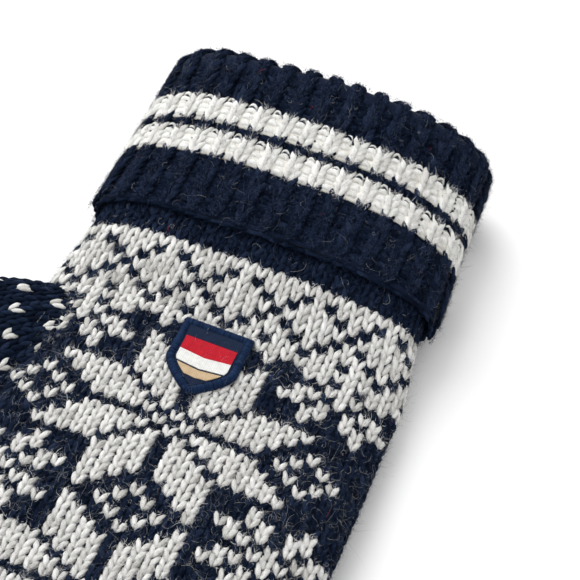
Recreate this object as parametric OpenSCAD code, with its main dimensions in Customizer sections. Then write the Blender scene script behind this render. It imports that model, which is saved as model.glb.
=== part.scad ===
// Left-hand knitted mitten, lying palm down, with a thick ribbed cuff turned up once.
// X runs across the hand with the thumb on -X, Y runs from the fingertips (-Y) to the
// wrist (+Y), and Z is up. The origin is on the palm's rest face, under the centre line.

/* [Hand] */
// Length from the fingertips to the folded end of the cuff
total_l = 240; // [200:1:288]
// Width of the hand at its widest
hand_w = 109; // [90:1:132]
// Thickness of the hand as it lies
hand_t = 20; // [18:0.5:26]
// Length over which the fingertips narrow
tip_l = 46; // [36:1:60]
// Thickness of the two-colour knit with its floats
knit_t = 3.2; // [2:0.1:4]
// Thickness of the fleece lining
liner_t = 2; // [1:0.1:2.6]

/* [Cuff] */
// Length of the turned-up part
turn_l = 59; // [49:1:71]
// Width of the turned-up cuff at its free edge
hem_w = 109; // [92:1:132]
// Width of the cuff at its fold
fold_w = 103.5; // [86:0.5:126]
// Height of the turned-up cuff at its free edge
hem_t = 31; // [27:0.5:37]
// Height of the cuff at its fold
fold_t = 40; // [30:0.5:46]
// Thickness of one layer of rib
rib_t = 4; // [3:0.1:4.8]
// Width of each light stripe
stripe_w = 8.3; // [5:0.1:10]
// Distance from the fold to the first stripe
stripe_start = 19.5; // [12:0.5:22]
// Dark gap between the two stripes
stripe_gap = 3.8; // [2:0.1:6]
// Width of the cast-off edge
edge_w = 2.4; // [1.5:0.1:3]
// Length of the throat that flares from the inner layer to the fold
throat_l = 18; // [14:1:22]
// Side gap between the inner layer and the turned-up cuff
side_gap = 1.2; // [0.8:0.1:2]

/* [Thumb] */
// Length of the thumb from its pivot to its tip
thumb_l = 97; // [88:1:112]
// Width of the thumb
thumb_w = 38; // [31:0.5:46]
// Thickness of the thumb
thumb_t = 18.5; // [17:0.5:24]
// Angle between the thumb and the hand
thumb_angle = 36; // [34:1:46]
// Distance of the thumb's pivot from the free edge of the cuff
pivot_from_hem = 29; // [20:1:36]
// Distance of the thumb's pivot inside the hand's side
pivot_inset = 8.5; // [6:0.5:12]
// Distance from the pivot to the joint between the gusset and the thumb
joint_r = 54; // [50:1:60]
// Gap between pieces that move past each other
clear = 0.4; // [0.3:0.05:0.6]

/* [Badge] */
// Width of the sewn badge
badge_w = 20.3; // [14:0.1:26]
// Height of the sewn badge
badge_h = 23.5; // [18:0.1:32]
// Distance of the badge's top edge from the free edge of the cuff
badge_from_hem = 29; // [22:0.5:40]
// Thickness of the badge's backing
badge_t = 0.9; // [0.6:0.1:1.4]
// Width of the raised border
border_w = 2; // [1.2:0.1:3]
// Height of the raised border above the backing
border_t = 0.7; // [0.4:0.1:1]
// Number of sewing stitches round the badge
badge_stitches = 36; // [20:2:48]

/* [Small pieces] */
// Thickness of the yarn that closes the tips
yarn_d = 1.8; // [1:0.1:2.4]
// Width of the blank care label
label_w = 18; // [10:1:24]
// Length of the blank care label
label_l = 26; // [14:1:30]
// Thickness of the blank care label
label_t = 0.5; // [0.3:0.1:0.8]

/* [Hidden] */

navy = "#18223a";
off_white = "#e9e5dc";
badge_navy = "#16305c";

y_fold = total_l / 2;
y_tip = -total_l / 2;
y_hem = y_fold - turn_l;
y_taper = y_tip + tip_l;
// Where the jacquard hand meets the rib, just under the free edge
y_join = y_hem + 5;
// The palm rises off the table between the badge and the cuff
y_rise = y_hem - badge_from_hem;
// Inset from the turned-up cuff's outside to the inner layer's outside and inside
inner_off = rib_t + clear;
cuff_off = 2 * rib_t + clear;
// The fold is half a circle that covers the end of the inner layer
fold_r = cuff_off / 2;
y_lip = y_fold - fold_r;
y_throat = y_lip - throat_l;

liner_gap = 0.2;
liner_off = knit_t + liner_gap;
lined_off = liner_off + liner_t;

// Share of the thickness that lies below the widest line
side_share = 0.42;
// How square the crowned top is: 1 is an ellipse, smaller is squarer
crown_power = 0.8;
// Radius of the soft lower edges
edge_r = 13;
// The palm is made this much too deep, then cut flat
palm_cut = 0.3;
top_steps = 24;
side_steps = 5;
hand_rings = 9;
tip_rings = 10;
thumb_rings = 9;
fold_steps = 8;
throat_steps = 6;
bead_steps = 8;

pivot_x = -hand_w / 2 + pivot_inset;
pivot_y = y_hem - pivot_from_hem;
// The gusset starts inside the hand's side as a narrow wedge, raised off the table
thumb_back = 14;
wedge_end = 24;
wedge_w = 14;
wedge_t = 12;
wedge_shift = 9;
wedge_rise = 3.4;
thumb_tip_l = 24;
// The seam's stitching stands this far into the wrist
seam_w = 3;
seam_t = 1.2;
patch_z = hand_t;
badge_top = y_hem - badge_from_hem;
badge_mid = badge_top - badge_h / 2;
big = 600;

// ---- Cross-sections and the shells swept through them ----

function ease(t) = let (c = min(1, max(0, t))) c * c * (3 - 2 * c);
function mix(a, b, t) = a + (b - a) * t;

// One closed cross-section in X and Z: crowned on top, flat below, with soft lower edges
function section(w, t, z, r) =
    let (side_z = z + side_share * t, flat = w / 2 - r)
    concat(
        [for (k = [0 : top_steps])
            let (a = 180 * k / top_steps, c = cos(a))
            [sign(c) * pow(abs(c), crown_power) * w / 2,
             side_z + (z + t - side_z) * pow(sin(a), crown_power)]],
        [for (k = [1 : side_steps])
            let (b = 90 * k / side_steps)
            [-flat - r * cos(b), side_z - (side_z - z) * sin(b)]],
        [for (k = [side_steps : -1 : 1])
            let (b = 90 * k / side_steps)
            [flat + r * cos(b), side_z - (side_z - z) * sin(b)]]);

function ring(y, w, t, z, r) = [for (p = section(w, t, z, r)) [p[0], y, p[1]]];

function sides(rings, m, closed) =
    [for (k = [0 : rings - (closed ? 1 : 2)], i = [0 : m - 1])
        let (n = (k + 1) % rings, j = (i + 1) % m)
        each [[k * m + i, k * m + j, n * m + j], [k * m + i, n * m + j, n * m + i]]];

// A closed solid through rings in order of rising Y
module lofted(rings) {
    m = len(rings[0]);
    n = len(rings);
    polyhedron(
        points = [for (r = rings) each r],
        faces = concat(sides(n, m, false),
                       [[for (i = [m - 1 : -1 : 0]) i]],
                       [[for (i = [0 : m - 1]) (n - 1) * m + i]]));
}

// A closed sleeve: the rings follow a loop that goes out in rising Y and comes back inside
module sleeve(rings) {
    polyhedron(
        points = [for (r = rings) each r],
        faces = sides(len(rings), len(rings[0]), true));
}

// The turned-up cuff's section at a place along it, moved in by off
function cuff_share(y) = (y - y_hem) / turn_l;
function cuff_width(y) = mix(hem_w, fold_w, cuff_share(y));
function cuff_height(y) = mix(hem_t, fold_t, cuff_share(y));
function cuff_ring(y, off) =
    ring(y, cuff_width(y) - 2 * off, cuff_height(y) - 2 * off, off, max(1, edge_r - off));

// The inner layer keeps the height of the hand's neck, then flares in the throat
function throat_share(y) = ease((y - y_throat) / throat_l);
function inner_ring(y, off) =
    let (flare = throat_share(y),
         w = cuff_width(y) - 2 * inner_off - 2 * side_gap * (1 - flare),
         t = mix(neck_t, cuff_height(y) - 2 * inner_off, flare))
    ring(y, w - 2 * off, t - 2 * off, inner_off + off, max(1, edge_r - inner_off - off));

// The hand's section: it eases from the mitten's own shape into the cuff's inner layer
function tip_share(y) = min(1, max(0, (y_taper - y) / tip_l));
function rise_share(y) = ease((y - y_rise) / (y_hem - y_rise));
neck_w = min(cuff_width(y_hem), cuff_width(y_join)) - 2 * inner_off;
neck_t = min(cuff_height(y_hem), cuff_height(y_join)) - 2 * inner_off;
function hand_width(y) =
    mix(hand_w, neck_w, rise_share(y)) * pow(1 - pow(tip_share(y), 2.5), 0.6);
function hand_height(y) =
    mix(hand_t, neck_t, rise_share(y)) * (1 - 0.5 * pow(tip_share(y), 2));
function hand_z(y) = mix(-palm_cut, inner_off, rise_share(y));
function hand_ring(y, off) =
    let (w = max(6, hand_width(y) - 2 * off), t = max(2, hand_height(y) + palm_cut - 2 * off))
    ring(y, w, t, hand_z(y) + off, min(edge_r - min(off, 8), w / 2 - 1));

// The fingertips' rings crowd towards the tip, where the outline turns fastest
function hand_stations(off, y_end) =
    let (tip = y_tip + 0.6 + off)
    concat([for (k = [0 : tip_rings - 1]) mix(tip, y_taper, pow(k / tip_rings, 1.8))],
           [for (k = [0 : 2]) mix(y_taper, y_rise, k / 3)],
           [for (k = [0 : hand_rings - 3]) mix(y_rise, y_hem, k / (hand_rings - 3))],
           [y_end]);

module hand_solid(off, y_end) {
    lofted([for (y = hand_stations(off, y_end)) hand_ring(y, off)]);
}

// The thumb lies along -Y from its pivot before it is turned
module at_pivot() {
    translate([pivot_x, pivot_y, 0]) rotate([0, 0, -thumb_angle]) children();
}

function thumb_share(s) = min(1, max(0, (s - thumb_l + thumb_tip_l) / thumb_tip_l));
function thumb_ring(s, off) =
    let (shape = pow(1 - pow(thumb_share(s), 2.4), 0.5),
         wedge = ease((wedge_end - s) / (wedge_end + thumb_back)),
         w = max(4, mix(thumb_w, wedge_w, wedge) * shape - 2 * off),
         t = max(1.6, mix(thumb_t, wedge_t, wedge) * (0.5 + 0.5 * shape) - 2 * off),
         z = wedge * wedge_rise + off)
    [for (p = ring(-s, w, t, z, min(edge_r - min(off, 8), w / 2 - 0.5)))
        p + [wedge * wedge_shift, 0, 0]];

function thumb_stations(off) =
    let (last = thumb_l - 0.5 - off, bend = thumb_l - thumb_tip_l)
    concat([for (k = [0 : thumb_rings - 1]) mix(last, bend, pow(k / thumb_rings, 1.8))],
           [bend, wedge_end, wedge_end / 2, 0, -thumb_back]);

module thumb_solid(off) {
    at_pivot() lofted([for (s = thumb_stations(off)) thumb_ring(s, off)]);
}

module round_pivot(r) {
    translate([pivot_x, pivot_y, -big / 2]) cylinder(r = r, h = big, $fn = 120);
}

module above_table() {
    translate([-big / 2, -big / 2, 0]) cube(big);
}

// ---- Hand ----

module hand_shell() {
    color(navy) intersection() {
        above_table();
        difference() {
            hand_solid(0, y_join);
            hand_solid(knit_t, y_join + 1);
            thumb_solid(knit_t);
        }
    }
}

// The wedge of knitting that grows out of the hand's side and carries the thumb
module thumb_gusset() {
    color(navy) difference() {
        intersection() {
            thumb_solid(0);
            round_pivot(joint_r - clear);
        }
        hand_solid(0, y_join);
        thumb_solid(knit_t);
    }
}

module hand_liner() {
    color(off_white) difference() {
        union() {
            hand_solid(liner_off, y_join - 1);
            intersection() {
                thumb_solid(liner_off);
                round_pivot(joint_r - clear);
            }
        }
        hand_solid(lined_off, y_join + 1);
        thumb_solid(lined_off);
    }
}

module tip_ring(d) {
    rotate([90, 0, 0]) rotate_extrude($fn = 40) translate([d, 0]) circle(d = yarn_d, $fn = 20);
}

module tip_closing_yarn() {
    tip_z = hand_height(y_tip) / 2;
    color(navy) translate([0, y_tip - yarn_d / 2 + 0.5, tip_z]) tip_ring(yarn_d);
}

// ---- Cuff ----

function band(y1, y2, off, t) =
    [cuff_ring(y1, off), cuff_ring(y2, off), cuff_ring(y2, off + t), cuff_ring(y1, off + t)];

// A sleeve along the inner layer through the given stations, its outside moved in by off
module inner_sleeve(ys, off, t) {
    sleeve(concat([for (y = ys) inner_ring(y, off)],
                  [for (k = [len(ys) - 1 : -1 : 0]) inner_ring(ys[k], off + t)]));
}

module cuff_inner() {
    color(navy) inner_sleeve([y_join, y_throat - clear], 0, rib_t);
}

// The part of the inner layer that moves with the fold as the cuff is unrolled
module cuff_throat() {
    ys = [for (k = [0 : throat_steps]) mix(y_throat, y_lip, k / throat_steps)];
    color(navy) inner_sleeve(ys, 0, rib_t);
}

// Overlocked seam that joins the lining to the rib, inside the wrist
module liner_seam() {
    color(off_white)
        inner_sleeve([y_join + liner_gap, y_join + seam_w], rib_t + liner_gap, seam_t);
}

module care_label() {
    z = cuff_off + liner_gap;
    color("#f1f0ec")
        translate([-label_w / 2, y_join + seam_w + 2, z]) cube([label_w, label_l, label_t]);
}

y_stripe1 = y_fold - stripe_start - stripe_w;
y_stripe2 = y_stripe1 - stripe_gap - stripe_w;

module cuff_turnup() {
    color(navy) {
        sleeve(concat(
            [cuff_ring(y_stripe1 + stripe_w, 0)],
            [for (k = [0 : fold_steps])
                let (a = 180 * k / fold_steps)
                cuff_ring(y_lip + fold_r * sin(a), fold_r * (1 - cos(a)))],
            [cuff_ring(y_lip, rib_t), cuff_ring(y_stripe1 + stripe_w, rib_t)]));
        sleeve(band(y_stripe2 + stripe_w, y_stripe1, 0, rib_t));
        sleeve(band(y_hem + edge_w, y_stripe2, 0, rib_t));
    }
}

module cuff_stripes() {
    color(off_white) for (y = [y_stripe1, y_stripe2]) sleeve(band(y, y + stripe_w, 0, rib_t));
}

// The rounded bead where the rib is cast off
module cast_off_edge() {
    color(navy) sleeve([for (k = [0 : bead_steps])
        let (a = 180 * k / bead_steps)
        cuff_ring(y_hem + edge_w * (1 - sin(a)), rib_t / 2 * (1 + cos(a)))]);
}

// ---- Badge ----

// Straight sides to this share of the height, then two arcs to the point
badge_shoulder = 0.56;
// How round the lower sides are: 1 is straight
badge_round = 1.5;

module shield(inset) {
    w = badge_w / 2 - inset;
    top = badge_h / 2 - inset;
    low = -badge_h / 2 + inset * 1.25;
    shoulder = badge_h / 2 - badge_h * badge_shoulder;
    steps = 10;
    curve = [for (k = [0 : steps])
        let (t = k / steps)
        [w * (1 - pow(t, badge_round)), mix(shoulder, low, t)]];
    polygon(concat([[w, top]], curve, [for (k = [steps - 1 : -1 : 0]) [-curve[k][0], curve[k][1]]],
                   [[-w, top]]));
}

module on_badge(z) {
    translate([0, badge_mid, patch_z + z]) children();
}

field_inset = border_w + 0.1;
emblem_inset = border_w + 0.6;
field_t = 0.3;
emblem_t = 0.3;
red_h = badge_h * 0.23;
chevron_w = badge_h * 0.16;
chevron_drop = badge_h * 0.1;
point_gap = 0.6;
point_h = badge_h * 0.11;

module badge_backing() {
    color(badge_navy) on_badge(0) linear_extrude(badge_t) shield(0);
}

module badge_border() {
    color("#22406f") on_badge(badge_t) linear_extrude(border_t) difference() {
        shield(0);
        shield(border_w);
    }
}

module badge_field() {
    color(badge_navy) on_badge(badge_t) linear_extrude(field_t) shield(field_inset);
}

// The emblem is cut into bands by lines that drop towards the middle
module below(y, drop) {
    polygon([[-badge_w, y + drop * 2], [0, y], [badge_w, y + drop * 2], [badge_w, -badge_h],
             [-badge_w, -badge_h]]);
}

red_top = badge_h / 2 - emblem_inset - 3.4;
chevron_top = red_top - red_h;

module emblem_piece(z = badge_t + field_t) {
    on_badge(z) linear_extrude(emblem_t) intersection() {
        shield(emblem_inset);
        children();
    }
}

module badge_red_band() {
    color("#c8102e") emblem_piece() difference() {
        translate([-badge_w, -badge_h]) square([2 * badge_w, badge_h + red_top]);
        below(chevron_top, chevron_drop / 2);
    }
}

module badge_white_chevron() {
    color("#f4f3ee") emblem_piece() difference() {
        below(chevron_top, chevron_drop / 2);
        below(chevron_top - chevron_w, chevron_drop / 2);
    }
}

module badge_tan_point() {
    color("#cdb48c") emblem_piece() difference() {
        below(chevron_top - chevron_w - point_gap, chevron_drop / 2);
        below(chevron_top - chevron_w - point_gap - point_h, chevron_drop / 2);
    }
}

stitch_d = 0.5;
stitch_l = 1.1;
// Sewing stitches run round the badge's straight top and sides
function badge_outline(k, n) =
    let (w = badge_w / 2 - border_w / 2, top = badge_h / 2 - border_w / 2,
         low = badge_h / 2 - badge_h * badge_shoulder, side = top - low,
         run = 2 * side + 2 * w, d = run * (k + 0.5) / n)
    d < side ? [-w, low + d, 90]
    : d < side + 2 * w ? [-w + d - side, top, 0]
    : [w, top - (d - side - 2 * w), 90];

module badge_stitching() {
    color(badge_navy) for (k = [0 : badge_stitches - 1]) {
        p = badge_outline(k, badge_stitches);
        on_badge(badge_t + border_t) translate([p[0], p[1], 0]) rotate([0, 90, p[2]])
            cylinder(d = stitch_d, h = stitch_l, center = true, $fn = 16);
    }
}

// ---- Thumb ----

module thumb_shell() {
    color(navy) difference() {
        thumb_solid(0);
        thumb_solid(knit_t);
        round_pivot(joint_r);
    }
}

module thumb_liner() {
    color(off_white) difference() {
        thumb_solid(liner_off);
        thumb_solid(lined_off);
        round_pivot(joint_r);
    }
}

module thumb_tip_yarn() {
    color(navy) at_pivot() translate([0, -thumb_l - yarn_d / 2 + 0.5, thumb_t / 3]) tip_ring(yarn_d);
}

hand_shell();
thumb_gusset();
cuff_inner();
hand_liner();
liner_seam();
care_label();
tip_closing_yarn();
badge_backing();
badge_border();
badge_field();
badge_red_band();
badge_white_chevron();
badge_tan_point();
badge_stitching();
thumb_shell();
thumb_liner();
thumb_tip_yarn();
cuff_turnup();
cuff_throat();
cuff_stripes();
cast_off_edge();
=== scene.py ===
"""Left-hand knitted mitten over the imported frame: every stitch of the star pattern and of
the turned-up rib as its own yarn, with lining, seam, label, woven badge and fuzz.
Lengths are in millimetres until a mesh is made; MM turns them into metres."""
import math

import bpy
import numpy as np
from mathutils import Matrix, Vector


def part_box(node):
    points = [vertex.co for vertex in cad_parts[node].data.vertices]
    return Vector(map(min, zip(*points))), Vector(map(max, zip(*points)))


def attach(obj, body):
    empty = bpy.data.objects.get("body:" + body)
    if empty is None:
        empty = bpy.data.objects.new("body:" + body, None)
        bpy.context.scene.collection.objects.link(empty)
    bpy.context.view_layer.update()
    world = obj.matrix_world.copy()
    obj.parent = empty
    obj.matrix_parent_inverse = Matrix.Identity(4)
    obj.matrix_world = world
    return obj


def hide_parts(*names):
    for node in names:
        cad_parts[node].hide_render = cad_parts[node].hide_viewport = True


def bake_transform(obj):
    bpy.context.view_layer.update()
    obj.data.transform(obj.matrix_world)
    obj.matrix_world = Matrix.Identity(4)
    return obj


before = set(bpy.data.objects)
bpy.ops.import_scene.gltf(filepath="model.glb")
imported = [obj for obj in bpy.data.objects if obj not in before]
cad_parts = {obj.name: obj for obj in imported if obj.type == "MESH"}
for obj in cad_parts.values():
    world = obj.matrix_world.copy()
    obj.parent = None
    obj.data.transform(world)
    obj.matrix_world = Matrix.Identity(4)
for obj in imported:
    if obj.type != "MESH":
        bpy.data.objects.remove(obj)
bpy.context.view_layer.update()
MM = 0.001
rng = np.random.default_rng(11)


# ---- Sizes, from the CAD nodes where a node's box gives them ----

def low(node):
    return np.array(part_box(node)[0]) / MM


def high(node):
    return np.array(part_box(node)[1]) / MM


HAND_W = 2 * high("hand_shell")[0]
HAND_T = low("badge_backing")[2]
Y_TIP = low("hand_shell")[1] - 0.6
Y_HEM = low("cast_off_edge")[1]
Y_FOLD = high("cuff_turnup")[1]
HEM_W, FOLD_W = 109.0, 103.5
HEM_T, FOLD_T = 31.0, 40.0
TIP_L = 46.0
KNIT_T, LINER_T = 3.2, 2.0
RIB_T, CLEAR, EDGE_R = 4.0, 0.4, 13.0
INNER_OFF = RIB_T + CLEAR
CUFF_OFF = 2 * RIB_T + CLEAR
FOLD_R = CUFF_OFF / 2
TURN_L = Y_FOLD - Y_HEM
Y_TAPER = Y_TIP + TIP_L
Y_JOIN = Y_HEM + 5
Y_LIP = Y_FOLD - FOLD_R
Y_THROAT = low("cuff_throat")[1]
SIDE_GAP = 1.2
BADGE_LOW, BADGE_HIGH = low("badge_backing"), high("badge_backing")
Y_RISE = BADGE_HIGH[1]
THUMB_ANGLE = math.radians(36)
THUMB_L, THUMB_W, THUMB_T = 97.0, 38.0, 18.5
THUMB_TIP_L = 24          # the thumb's rounded end
THUMB_ROOT = -13          # where the gusset ends in the hand
WEDGE_START, WEDGE_L = 24, 38          # where the thumb starts to narrow into the hand
WEDGE_W, WEDGE_T, WEDGE_SHIFT, WEDGE_RISE = 14, 12, 9, 3.4
PIVOT = np.array([-HAND_W / 2 + 8.5, Y_HEM - 29, 0.0])

SIDE_SHARE = 0.42         # a section is widest at this share of its height
CROWN = 0.8               # how full its back is
LOWEST = 0.35             # how close the knitting's middle comes to the table

# The knitting's gauge
PITCH_COUNT = 60          # stitches round the hand
HALF, QUARTER = PITCH_COUNT // 2, PITCH_COUNT // 4
ROW = 2.8                 # height of a row
FIRST_STAR = Y_HEM - 22.3 * ROW
RIBS = 33                 # knit ribs round the cuff
RIB_ROW = 2.6
THUMB_COUNT = 24


def joined(rows):
    """Rows of several arrays each, as one long array of every kind."""
    return [np.concatenate(kind) for kind in zip(*rows)]


def unit(v):
    return v / np.maximum(np.linalg.norm(v, axis=-1, keepdims=True), 1e-9)


def mix(a, b, t):
    return a + (b - a) * t


def run(points):
    """How far along a line each of its points is."""
    return np.concatenate([[0], np.cumsum(np.linalg.norm(np.diff(points, axis=0), axis=1))])


def ease(t):
    t = np.clip(t, 0, 1)
    return t * t * (3 - 2 * t)


# ---- The knitted surfaces ----

def section(w, t, z, r, places=240):
    """Evenly spaced points round a cross-section, from the middle of the back towards +X."""
    side_z = z + SIDE_SHARE * t
    a = np.radians(np.linspace(90, 0, 90))
    top = np.stack([np.cos(a) ** CROWN * w / 2, side_z + (z + t - side_z) * np.sin(a) ** CROWN], 1)
    b = np.radians(np.linspace(0, 90, 24))[1:]
    corner = np.stack([w / 2 - r + r * np.cos(b), side_z - (side_z - z) * np.sin(b)], 1)
    half = np.concatenate([top, corner, [[0, z]]])
    half[0, 0] = 0
    s = run(half)
    at = np.linspace(0, s[-1], places // 2 + 1)
    x, zz = np.interp(at, s, half[:, 0]), np.interp(at, s, half[:, 1])
    return (np.concatenate([x, -x[-2:0:-1]]), np.concatenate([zz, zz[-2:0:-1]]),
            s[len(top) - 1] / (2 * s[-1]))


def level(y, *shape):
    """A section as a ring at y, with the share of the way round to its side."""
    x, z, side = section(*shape)
    return np.stack([x, np.full_like(x, y), z], 1), side


def hand_outline(y):
    """Width and height at y, the share of the way up into the cuff and of the way into the tip."""
    e = ease((y - Y_RISE) / (Y_HEM - Y_RISE))
    ts = np.clip((Y_TAPER - y) / TIP_L, 0, 1)
    w = mix(HAND_W, cuff_width(Y_JOIN) - 2 * INNER_OFF, e) * (1 - ts ** 2.5) ** 0.6
    return w, mix(HAND_T, cuff_height(Y_HEM) - 2 * INNER_OFF, e), e, ts


def hand_ring(y, off):
    w, t, e, ts = hand_outline(y)
    t = t * (1 - 0.5 * ts ** 2)
    z = mix(-0.3, INNER_OFF, e)
    w, t = max(6, w - 2 * off), max(2, t + 0.3 - 2 * off)
    ring, side = level(y, w, t, z + off, min(EDGE_R - min(off, 8), w / 2 - 1))
    ring[:, 2] = np.maximum(ring[:, 2], LOWEST + off * 0.5)
    return ring, side


def cuff_width(y):
    return mix(HEM_W, FOLD_W, (y - Y_HEM) / TURN_L)


def cuff_height(y):
    return mix(HEM_T, FOLD_T, (y - Y_HEM) / TURN_L)


def cuff_ring(y, off):
    return level(y, cuff_width(y) - 2 * off, cuff_height(y) - 2 * off, off, max(1, EDGE_R - off))


def inner_ring(y, off):
    flare = ease((y - Y_THROAT) / (Y_LIP - Y_THROAT))
    w = cuff_width(y) - 2 * INNER_OFF - 2 * SIDE_GAP * (1 - flare)
    t = mix(cuff_height(Y_HEM) - 2 * INNER_OFF, cuff_height(y) - 2 * INNER_OFF, flare)
    return level(y, w - 2 * off, t - 2 * off, INNER_OFF + off, max(1, EDGE_R - INNER_OFF - off))


def thumb_wedge(s):
    return ease((WEDGE_START - s) / WEDGE_L)


def thumb_ring(s, off):
    share = np.clip((s - THUMB_L + THUMB_TIP_L) / THUMB_TIP_L, 0, 1)
    shape = (1 - share ** 2.4) ** 0.5
    wedge = thumb_wedge(s)
    w = max(4, mix(THUMB_W, WEDGE_W, wedge) * shape - 2 * off)
    t = max(1.6, mix(THUMB_T, WEDGE_T, wedge) * (0.5 + 0.5 * shape) - 2 * off)
    x, zz, side = section(w, t, WEDGE_RISE * wedge + off, min(EDGE_R - min(off, 8), w / 2 - 0.5), 120)
    x = x + WEDGE_SHIFT * wedge
    zz = np.maximum(zz, LOWEST + off * 0.5)
    c, n = math.cos(THUMB_ANGLE), math.sin(THUMB_ANGLE)
    return np.stack([PIVOT[0] + c * x - n * s, PIVOT[1] - n * x - c * s, zz], 1), side


WAVES = rng.normal(size=(7, 3)), rng.uniform(0, 6.28, 7), rng.uniform(0.6, 1.4, 7)


def waves(p, size):
    """Slow seeded variation between about -1 and 1 over places p."""
    directions, phases, gains = WAVES
    total = sum(g * np.sin(p @ (unit(d) * 6.28 / (size * g)) + ph)
                for d, ph, g in zip(directions, phases, gains))
    return total / 3.4


class Skin:
    """A knitted tube as rings of evenly spaced places, from the fingers' end to the wrist's.
    Along is in millimetres and round is a share of the way about it, from the back's middle."""

    def __init__(self, along, ring_at, lump=0.0):
        self.along = np.asarray(along, float)
        rings, sides = zip(*[ring_at(a) for a in self.along])
        self.p = np.array(rings)
        self.side = np.array(sides)
        self.normals()
        if lump:
            top = np.clip((self.p[..., 2] - 5) / 8, 0, 1)
            calm = 1 - np.exp(-(self.p[..., 0] / 17) ** 2 - ((self.p[..., 1] - 20) / 19) ** 2)
            self.p = self.p + self.n * (lump * waves(self.p, 46) * top * calm)[..., None]
            self.normals()
        self.girth = np.linalg.norm(np.roll(self.p, -1, 1) - self.p, axis=2).sum(1)

    def normals(self):
        around = np.roll(self.p, -1, 1) - np.roll(self.p, 1, 1)
        along = np.gradient(self.p, axis=0)
        self.n = unit(np.cross(around, along))

    def at(self, a, f):
        rows, places = self.p.shape[:2]
        v = np.clip(np.interp(a, self.along, np.arange(rows)), 0, rows - 1.000001)
        u = (f % 1) * places
        v0, u0 = v.astype(int), u.astype(int) % places
        v1, u1 = np.minimum(v0 + 1, rows - 1), (u0 + 1) % places
        tv, tu = (v - v0)[..., None], (u - np.floor(u))[..., None]

        def blend(g):
            return mix(mix(g[v0, u0], g[v0, u1], tu), mix(g[v1, u0], g[v1, u1], tu), tv)
        return blend(self.p), unit(blend(self.n))

    def round_at(self, a):
        return np.interp(a, self.along, self.girth)


# ---- Meshes ----

def put(name, data):
    ob = bpy.data.objects.new(name, data)
    bpy.context.scene.collection.objects.link(ob)
    return ob


def new_mesh(name, verts, quads, tris, uv=None, yarn=None, tone=None):
    me = bpy.data.meshes.new(name)
    me.vertices.add(len(verts))
    me.vertices.foreach_set("co", (np.asarray(verts) * MM).astype(np.float32).ravel())
    corners = np.concatenate([np.asarray(quads, int).ravel(), np.asarray(tris, int).ravel()])
    me.loops.add(len(corners))
    me.loops.foreach_set("vertex_index", corners.astype(np.int32))
    starts = np.concatenate([np.arange(len(quads)) * 4, 4 * len(quads) + np.arange(len(tris)) * 3])
    me.polygons.add(len(starts))
    me.polygons.foreach_set("loop_start", starts.astype(np.int32))
    me.update(calc_edges=True)
    if uv is not None:
        layer = me.uv_layers.new(name="OFBake", do_init=False)
        layer.uv.foreach_set("vector", uv.astype(np.float32).ravel())
    for key, kind, field, values in (("yarn", "FLOAT_VECTOR", "vector", yarn),
                                     ("tone", "FLOAT", "value", tone)):
        if values is not None:
            at = me.attributes.new(key, kind, "POINT")
            at.data.foreach_set(field, values.astype(np.float32).ravel())
    me.polygons.foreach_set("use_smooth", np.full(len(starts), True))
    return put(name, me)


def strands(centre, normal, wide, tall, tone=None, sides=8, twist=0.9):
    """Closed yarns round N centre lines of R points, as verts, yarn coordinates, tones, R and sides."""
    n, r, _ = centre.shape
    along = unit(np.gradient(centre, axis=1))
    across = unit(np.cross(along, normal))
    up = np.cross(across, along)
    uneven = 1 + rng.normal(0, 0.07, (n, r, sides, 1))
    wide = np.broadcast_to(wide, (n, r))[..., None, None] * uneven
    tall = np.broadcast_to(tall, (n, r))[..., None, None] * uneven
    a = 2 * np.pi * np.arange(sides) / sides
    ring = (centre[:, :, None] + wide * np.cos(a)[:, None] * across[:, :, None]
            + tall * np.sin(a)[:, None] * up[:, :, None])
    step = np.linalg.norm(np.diff(centre, axis=1), axis=2)
    s = np.concatenate([np.zeros((n, 1)), np.cumsum(step, 1)], 1)
    shift = rng.uniform(0, 60, (n, 1))
    turn = a + twist * s[..., None] + shift[..., None]
    size = float(np.max(wide))
    yarn = np.stack([size * np.cos(turn), size * np.sin(turn),
                     np.broadcast_to((0.22 * s + shift)[..., None], turn.shape)], -1)
    if tone is None:
        tone = rng.normal(0.5, 0.17, n)
    ends = np.stack([centre[:, 0], centre[:, -1]], 1)
    ends_yarn = np.stack([yarn[:, 0].mean(1), yarn[:, -1].mean(1)], 1)
    verts = np.concatenate([ring.reshape(n, r * sides, 3), ends], 1)
    return (verts, np.concatenate([yarn.reshape(n, r * sides, 3), ends_yarn], 1),
            np.repeat(tone[:, None], r * sides + 2, 1), r, sides)


def yarn_faces(r, sides):
    """One yarn's quads and triangles, and their corners' places: round it in U, along it in V."""
    k, i = np.meshgrid(np.arange(r - 1), np.arange(sides), indexing="ij")
    j = (i + 1) % sides
    quad = np.stack([k * sides + i, k * sides + j, (k + 1) * sides + j, (k + 1) * sides + i], -1)
    uv_quad = np.stack([np.stack(at, -1) for at in
                        ((i, k + 1), (i + 1, k + 1), (i + 1, k + 2), (i, k + 2))], -2)
    i, j = i[0], j[0]
    head = np.stack([np.full(sides, r * sides), j, i], -1)
    tail = np.stack([np.full(sides, r * sides + 1), (r - 1) * sides + i, (r - 1) * sides + j], -1)
    start, one, end, last = (np.full(sides, v) for v in (0, 1, r + 1, r))
    uv_tri = [np.stack([np.stack(at, -1) for at in corners], -2) for corners in
              (((i + 0.5, start), (i + 1, one), (i, one)), ((i + 0.5, end), (i, last), (i + 1, last)))]
    return (quad.reshape(-1, 4), np.concatenate([head, tail]), uv_quad.reshape(-1, 2),
            np.concatenate(uv_tri).reshape(-1, 2))


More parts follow.
